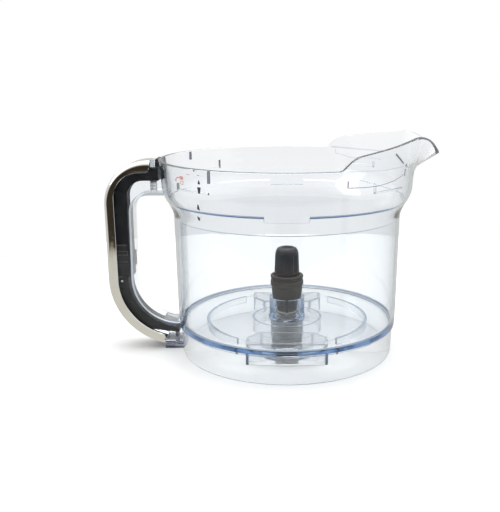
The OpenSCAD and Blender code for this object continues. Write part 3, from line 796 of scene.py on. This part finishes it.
def build_prints():
    """Level marks and a turn-to-lock symbol in print, painted shade lines along the lip, the rim and the
    tab's sides, and the spout's seam line, part seam and part painted shade.
    """
    build_strokes("level_marks", INK_DARK, [
        upright_stroke(-65.1, 157, 160, 2.8, 0.8), upright_stroke(-65.2, 150, 154.8, 2, 3.6),
        upright_stroke(-66.6, 136.9, 141.3, 2.8, 1), upright_stroke(-67.4, 127.3, 130.3, 2, 2.8)])
    # Painted shade: dark lines along the lip's edge
    build_strokes("lip_line", SEAM_AND_SHADE, [
        [(a, wall_top(a).y - 0.35, 0.42) for a in range(-64, -22, 2)],
        [(a / 2, wall_top(a / 2).y - 0.75, 1.3) for a in range(-44, 5)]])
    # Painted shade: faint lines along the rim
    build_strokes("rim_line", FAINT_SHADE, [
        curve_stroke([(-66.5, 167.9), (-57, 167.4), (-47, 166.7), (-38, 167), (-31, 167.6)], 0.7),
        curve_stroke([(66, 167.9), (50, 167), (31, 167.4)], 1.4),
        curve_stroke([(63.4, 166), (63.4, 162), (53.7, 158.5), (48.4, 158.4), (42.5, 158.1),
                      (31.3, 156.7)], 0.6)])
    # Painted shade: faint lines up the tab's sides
    build_strokes("tab_sides", FAINT_SHADE, [
        curve_stroke([(a, STEP_Z - TAB_DROP + 0.4), (a, STEP_Z)], 0.9)
        for a in (-90 - TAB_HALF, -90 + TAB_HALF)])
    x, z = -82.6, 157.6             # middle of the symbol's turning arrow
    turn = [(front_angle(px, pz), pz, 0.7) for px, pz in arc(x, z, 2.4, 190, 80, 8)]
    tip = [(front_angle(x - 2.5, z - 1.2), z - 1.2, 0.4), (front_angle(x - 2.4, z + 0.4), z + 0.4, 1.9)]
    lines = [turn, tip]
    lines += [level_stroke(x + 1.2, x + 4.2, z + dz, 0.55) for dz in (3.3, 2.4, 1.5)]
    lines += [upright_stroke(x + dx, z + 1.3, z + 3.5, 0.5, 0.5) for dx in (1.4, 2.7, 4)]
    lines += [level_stroke(x + 1.8, x + 4.2, z + dz, 0.4) for dz in (0, -2.4)]
    lines += [upright_stroke(x + dx, z - 2.5, z + 0.1, 0.4, 0.4) for dx in (1.9, 4.1)]
    lines += [level_stroke(-75.6, -72.6, 163.4, 0.3), level_stroke(-66.4, -64.6, 163.8, 0.5)]
    build_strokes("lock_symbol", INK_RED, lines)
    # The spout's seam line, part seam and part painted shade
    build_strokes("spout_seam", SEAM_AND_SHADE, [
        curve_stroke([(-65.6, 156), (-57, 155.4), (-50, 155.5), (-40, 157.6), (-32, 161)], 0.45),
        curve_stroke([(-65.6, 156.2), (-65.6, 161)], 0.9),
        curve_stroke([(-31.2, 159.3), (-31.2, 165)], 1.7),
        curve_stroke([(-40.5, 177.9), (-33.5, 169.4)], 1.5)])


def build_guide_lines():
    """Painted highlights: pale strips along the edges of the ribs on the slider's guide, on both sides of the
    handle.
    """
    verts, faces = [], []
    x0, x1, width = guide_low.x + 1.6, guide_high.x - 2, 0.4
    bars = [(z, z + width, x0, x1) for z in (78.3, 84.4, 87.8)]
    bars += [(92.9, 92.9 + width, x0, x1 - 0.6), (84.9, 87.7, x1 - width, x1)]
    for side in (1, -1):
        y0, y1 = side * (guide_high.y - 0.04), side * (guide_high.y + 0.04)
        for z0, z1, left, right in bars:
            solid_from_outline(verts, faces, [(left, y0), (right, y0), (right, y1), (left, y1)], z0, z1)
    lines = make_object("guide_lines", verts, faces, 30)
    lines.data.materials.append(RIB_HIGHLIGHT)
    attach(lines, "bowl_body")


# ---------------------------------------------------------------- nodes kept from the frame

BEVEL_ABOVE, SHARP_ABOVE = 32, 40    # angles in degrees of the edges that are rounded, and left sharp


def refine(name, mat, body, bevel):
    """Puts a CAD node's mesh back welded, with its edges rounded by bevel, and with its material."""
    bm = bmesh.new()
    bm.from_mesh(nodes[name].data)
    bmesh.ops.remove_doubles(bm, verts=bm.verts, dist=0.000002)
    bmesh.ops.dissolve_limit(bm, angle_limit=math.radians(0.6), verts=bm.verts, edges=bm.edges)
    if bevel:
        edges = [e for e in bm.edges if e.is_manifold and e.calc_face_angle(0) > math.radians(BEVEL_ABOVE)]
        bmesh.ops.bevel(bm, geom=edges, offset=bevel * MM, segments=3, profile=0.5, affect="EDGES",
                        clamp_overlap=True)
    mesh = bpy.data.meshes.new(name + "_fine")
    bm.to_mesh(mesh)
    bm.free()
    mesh.polygons.foreach_set("use_smooth", [True] * len(mesh.polygons))
    mesh.set_sharp_from_angle(angle=math.radians(SHARP_ABOVE))
    piece = bpy.data.objects.new(name + "_fine", mesh)
    bpy.context.scene.collection.objects.link(piece)
    weighted = piece.modifiers.new("weighted", "WEIGHTED_NORMAL")
    weighted.keep_sharp = True
    mesh.materials.append(mat)
    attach(piece, body)
    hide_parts(name)


build_bowl()
build_lock_pockets()
build_pocket_lines()
build_lid_ramps()
build_trim()
build_spring()
build_prints()
build_guide_lines()
for name, mat, slot, body, bevel in (
    ("handle_shell", SHELL, "clear_plastic", "bowl_body", 0.4),
    ("handle_foot", SMOKY, "smoky_plastic", "bowl_body", 0.4),
    ("foot_screws", STEEL, "fixing_steel", "bowl_body", 0.12),
    ("lid_tab_slot", BLACK, "black_plastic", "bowl_body", 0.3),
    ("slider_guide", BLACK, "black_plastic", "bowl_body", 0.25),
    ("rod_stop", SMOKY, "smoky_plastic", "bowl_body", 0.3),
    ("interlock_slider", BLACK, "black_plastic", "slider", 0.9),
    ("interlock_rod", BLACK, "black_plastic", "rod", 0.9),
    ("rod_pin", STEEL, "fixing_steel", "rod", 0.25),
    ("switch_plunger", GREY, "grey_plastic", "rod", 0.25),
    ("shaft_bush", BUSH, "bush_plastic", "bowl_body", 0.2),
    ("shaft_seal", RUBBER, "seal_rubber", "spindle", 0.15),
    ("coupling_shroud", SHROUD, "smoky_plastic", "bowl_body", 0.25),
    ("drive_shaft", SHAFT, "shaft_steel", "spindle", 0.3),
    ("drive_coupling", BLACK, "black_plastic", "spindle", 0.3),
    ("drive_pin", STEEL, "fixing_steel", "spindle", 0.15),
    ("retaining_clip", STEEL, "spring_steel", "spindle", 0.1),
    ("thrust_washer", NYLON, "washer_plastic", "spindle", 0.1),
    ("spindle_sleeve", BROWN, "brown_plastic", "spindle", 0.25),
    ("sleeve_o_ring", RUBBER, "seal_rubber", "spindle", 0),
    ("tool_collar", COLLAR, "black_plastic", "spindle", 0.3),
    ("drive_head", HEAD, "black_plastic", "spindle", 0.35),
):
    refine(name, mat, body, bevel)

# ---------------------------------------------------------------- stage, light and camera


def build_stage():
    """A round pale table top, just under the skirt."""
    bpy.ops.mesh.primitive_circle_add(vertices=128, radius=0.49, fill_type="NGON", location=(0, 0, -0.0002))
    floor = bpy.context.object
    floor.name = "table"
    mat, tree, shader = material("table_paper")
    out = next(n for n in tree.nodes if n.type == "OUTPUT_MATERIAL")
    tree.links.new(two_colours(tree, noise(tree, 8, 3), (0.73, 0.73, 0.72), (0.75, 0.75, 0.74)),
                   shader.inputs["Base Color"])
    shader.inputs["Roughness"].default_value = 0.9
    # A faint painted glow over the whole table lightens the shadows on it
    shader.inputs["Emission Color"].default_value = (1, 1, 0.97, 1)
    shader.inputs["Emission Strength"].default_value = 0.07
    # Painted reflection: in reflections the table glows with a fixed colour in place of its lighting, brown
    # in the metal and slate blue inside clear plastic, and falls off towards its front edge
    path = tree.nodes.new("ShaderNodeLightPath")
    place = tree.nodes.new("ShaderNodeTexCoord")
    split = tree.nodes.new("ShaderNodeSeparateXYZ")
    tree.links.new(place.outputs["Object"], split.inputs[0])
    nearness = spread(tree, split.outputs["Y"], 0, 1, -0.466, -0.338)
    painted_reflection_tone = tree.nodes.new("ShaderNodeMix")
    painted_reflection_tone.data_type = "RGBA"
    tree.links.new(path.outputs["Transmission Depth"], painted_reflection_tone.inputs["Factor"])
    for socket, edge, middle, near in (
            ("A", (0.05, 0.04, 0.025), (0.36, 0.27, 0.17), (0.64, 0.63, 0.585)),
            ("B", (0.2, 0.24, 0.33), (0.4, 0.43, 0.48), (0.64, 0.65, 0.66))):
        ramp = tree.nodes.new("ShaderNodeValToRGB")
        ramp.color_ramp.elements[0].color = (*edge, 1)
        ramp.color_ramp.elements[1].color = (*near, 1)
        ramp.color_ramp.elements.new(0.5).color = (*middle, 1)
        tree.links.new(nearness, ramp.inputs["Fac"])
        tree.links.new(ramp.outputs["Color"], painted_reflection_tone.inputs[socket])
    painted_reflection_glow = tree.nodes.new("ShaderNodeEmission")
    tree.links.new(painted_reflection_tone.outputs["Result"], painted_reflection_glow.inputs["Color"])
    mix = tree.nodes.new("ShaderNodeMixShader")
    tree.links.new(path.outputs["Glossy Depth"], mix.inputs[0])
    tree.links.new(shader.outputs[0], mix.inputs[1])
    tree.links.new(painted_reflection_glow.outputs[0], mix.inputs[2])
    tree.links.new(mix.outputs[0], out.inputs["Surface"])
    floor.data.materials.append(mat)


def area_light(name, place, target, size, power):
    """A white softbox of a size in metres and a power in watts, turned towards its target."""
    light = bpy.data.lights.new(name, "AREA")
    light.shape = "RECTANGLE"
    light.size, light.size_y = size
    light.energy = power
    obj = bpy.data.objects.new(name, light)
    bpy.context.scene.collection.objects.link(obj)
    obj.location = place
    obj.rotation_euler = (Vector(target) - Vector(place)).to_track_quat("-Z", "Y").to_euler()


def build_world():
    """White where the camera looks, straight or through clear plastic, and a studio room in reflections."""
    world = bpy.data.worlds.new("studio")
    world.use_nodes = True
    world.cycles.sampling_method = "NONE"
    bpy.context.scene.world = world
    tree = world.node_tree
    room = next(n for n in tree.nodes if n.type == "BACKGROUND")
    out = next(n for n in tree.nodes if n.type == "OUTPUT_WORLD")
    place = tree.nodes.new("ShaderNodeTexCoord")
    split = tree.nodes.new("ShaderNodeSeparateXYZ")
    tree.links.new(place.outputs["Generated"], split.inputs[0])

    path = tree.nodes.new("ShaderNodeLightPath")

    def ramp_of(axis, stops):
        """Colours by one axis of the direction, from -1 to 1. On Z it is the sine of the elevation."""
        shift = spread(tree, split.outputs[axis], 0, 1, -1, 1)
        ramp = tree.nodes.new("ShaderNodeValToRGB")
        tree.links.new(shift, ramp.inputs["Fac"])
        ramp.color_ramp.elements[0].color = (*stops[0][1], 1)
        ramp.color_ramp.elements[1].color = (*stops[-1][1], 1)
        for position, colour in stops[1:-1]:
            ramp.color_ramp.elements.new((position + 1) / 2).color = (*colour, 1)
        return ramp.outputs["Color"]

    def front_ramp(dark):
        return ramp_of("Z", [
            (-1, (0.6, 0.6, 0.6)), (-0.3, (0.5, 0.49, 0.47)), (-0.24, dark), (0.2, dark),
            (0.34, (0.3, 0.28, 0.26)), (0.55, (0.8, 0.8, 0.8)), (1, (0.9, 0.9, 0.9))])

    # The dark side of the room is brown in the metal and slate blue inside clear plastic
    inside = tree.nodes.new("ShaderNodeMix")
    inside.data_type = "RGBA"
    tree.links.new(path.outputs["Transmission Depth"], inside.inputs["Factor"])
    tree.links.new(front_ramp((0.035, 0.028, 0.02)), inside.inputs["A"])
    tree.links.new(front_ramp((0.11, 0.13, 0.17)), inside.inputs["B"])
    back = ramp_of("Z", [(-1, (0.6, 0.6, 0.6)), (-0.2, (0.62, 0.62, 0.6)), (0.2, (0.64, 0.64, 0.62)),
                         (0.5, (1.5, 1.5, 1.5)), (1, (1.5, 1.5, 1.5))])
    side = ramp_of("Y", [(-1, (0, 0, 0)), (-0.7, (0, 0, 0)), (-0.4, (1, 1, 1)), (1, (1, 1, 1))])
    blend = tree.nodes.new("ShaderNodeMix")
    blend.data_type = "RGBA"
    tree.links.new(side, blend.inputs["Factor"])
    tree.links.new(inside.outputs["Result"], blend.inputs["A"])
    tree.links.new(back, blend.inputs["B"])
    tree.links.new(blend.outputs["Result"], room.inputs["Color"])
    # Any reflection or scattering on the way shows the room
    white = tree.nodes.new("ShaderNodeBackground")
    white.inputs["Color"].default_value = (1, 1, 1, 1)
    bounced = tree.nodes.new("ShaderNodeMath")
    bounced.operation = "ADD"
    bounced.use_clamp = True
    tree.links.new(path.outputs["Glossy Depth"], bounced.inputs[0])
    tree.links.new(path.outputs["Diffuse Depth"], bounced.inputs[1])
    mix = tree.nodes.new("ShaderNodeMixShader")
    tree.links.new(bounced.outputs[0], mix.inputs[0])
    tree.links.new(white.outputs[0], mix.inputs[1])
    tree.links.new(room.outputs[0], mix.inputs[2])
    tree.links.new(mix.outputs[0], out.inputs["Surface"])


def build_camera():
    """The view from the front, a little above the bowl's rim."""
    camera = bpy.data.cameras.new("camera")
    camera.sensor_width = 36
    camera.lens = 50.35
    camera.shift_x = -0.0721
    camera.clip_start = 0.01
    obj = bpy.data.objects.new("camera", camera)
    bpy.context.scene.collection.objects.link(obj)
    obj.location = (0, -0.6116, 0.2334)
    obj.rotation_euler = (math.radians(76.04), 0, 0)
    bpy.context.scene.camera = obj


build_stage()
build_world()
area_light("softbox_top", (0.05, 0.1, 0.9), (0, 0, 0.05), (0.9, 0.7), 5)
area_light("softbox_left", (-0.8, -0.1, 0.6), (-0.05, 0, 0.1), (0.4, 0.5), 1)
build_camera()

view = bpy.context.scene.view_settings
view.view_transform = "Standard"
view.look = "None"
cycles = bpy.context.scene.cycles
cycles.use_denoising = True
BOUNCES = 24                    # enough for light to pass every clear wall, and to bounce inside one
cycles.max_bounces = BOUNCES
cycles.transmission_bounces = BOUNCES
cycles.transparent_max_bounces = BOUNCES
cycles.glossy_bounces = BOUNCES
cycles.caustics_reflective = False
cycles.caustics_refractive = True
